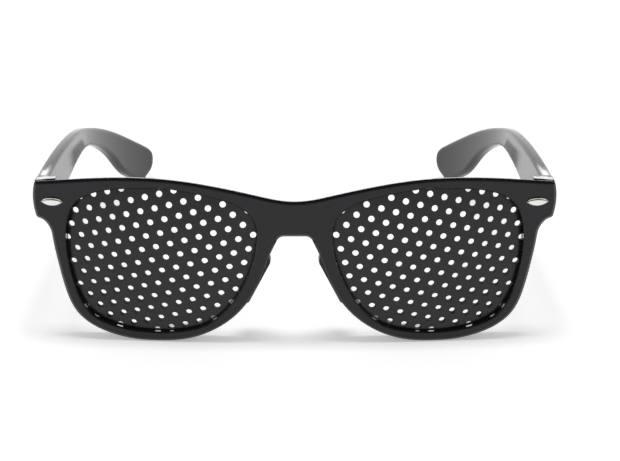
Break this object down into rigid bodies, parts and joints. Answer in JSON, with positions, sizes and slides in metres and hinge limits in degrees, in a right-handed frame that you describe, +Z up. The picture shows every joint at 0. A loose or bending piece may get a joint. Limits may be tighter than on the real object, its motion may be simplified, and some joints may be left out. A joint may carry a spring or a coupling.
{
  "type": "pinhole glasses",
  "caption": "Square-browed black pinhole glasses: perforated domed plates in two rims, moulded nose pads, oval metal studs and broad folding temples on barrel hinges.",
  "frame": {"origin": "on the surface the glasses stand on, under the middle of their width and length", "axes": "+Z up, the front faces -Y, the temples run towards +Y, and +X is the wearer's left; X = 0 is the mirror plane"},
  "size_m": [0.1457, 0.145, 0.0492],
  "materials": {
    "frame_black": "polished",
    "plate_black": "satin",
    "temple_black": "polished",
    "polished_metal": "polished",
    "hinge_steel": "satin",
    "screw_steel": "polished"
  },
  "bodies": {
    "front": {"front_frame": "frame_black", "left_pinhole_plate": "plate_black", "right_pinhole_plate": "plate_black", "left_front_stud": "polished_metal", "right_front_stud": "polished_metal", "left_front_hinge_leaf": "hinge_steel", "right_front_hinge_leaf": "hinge_steel", "left_hinge_screw": "screw_steel", "right_hinge_screw": "screw_steel"},
    "left_side": {"left_temple": "temple_black", "left_temple_hinge_leaf": "hinge_steel"},
    "right_side": {"right_temple": "temple_black", "right_temple_hinge_leaf": "hinge_steel"}
  },
  "joints": [
    {"name": "left_temple_fold", "type": "hinge", "parent": "front", "child": "left_side", "pos_m": [0.06735, -0.06285, 0.041], "axis": [0, 0, 1], "range_deg": [0, 84]},
    {"name": "right_temple_fold", "type": "hinge", "parent": "front", "child": "right_side", "pos_m": [-0.06735, -0.06285, 0.041], "axis": [0, 0, -1], "range_deg": [0, 75]}
  ]
}
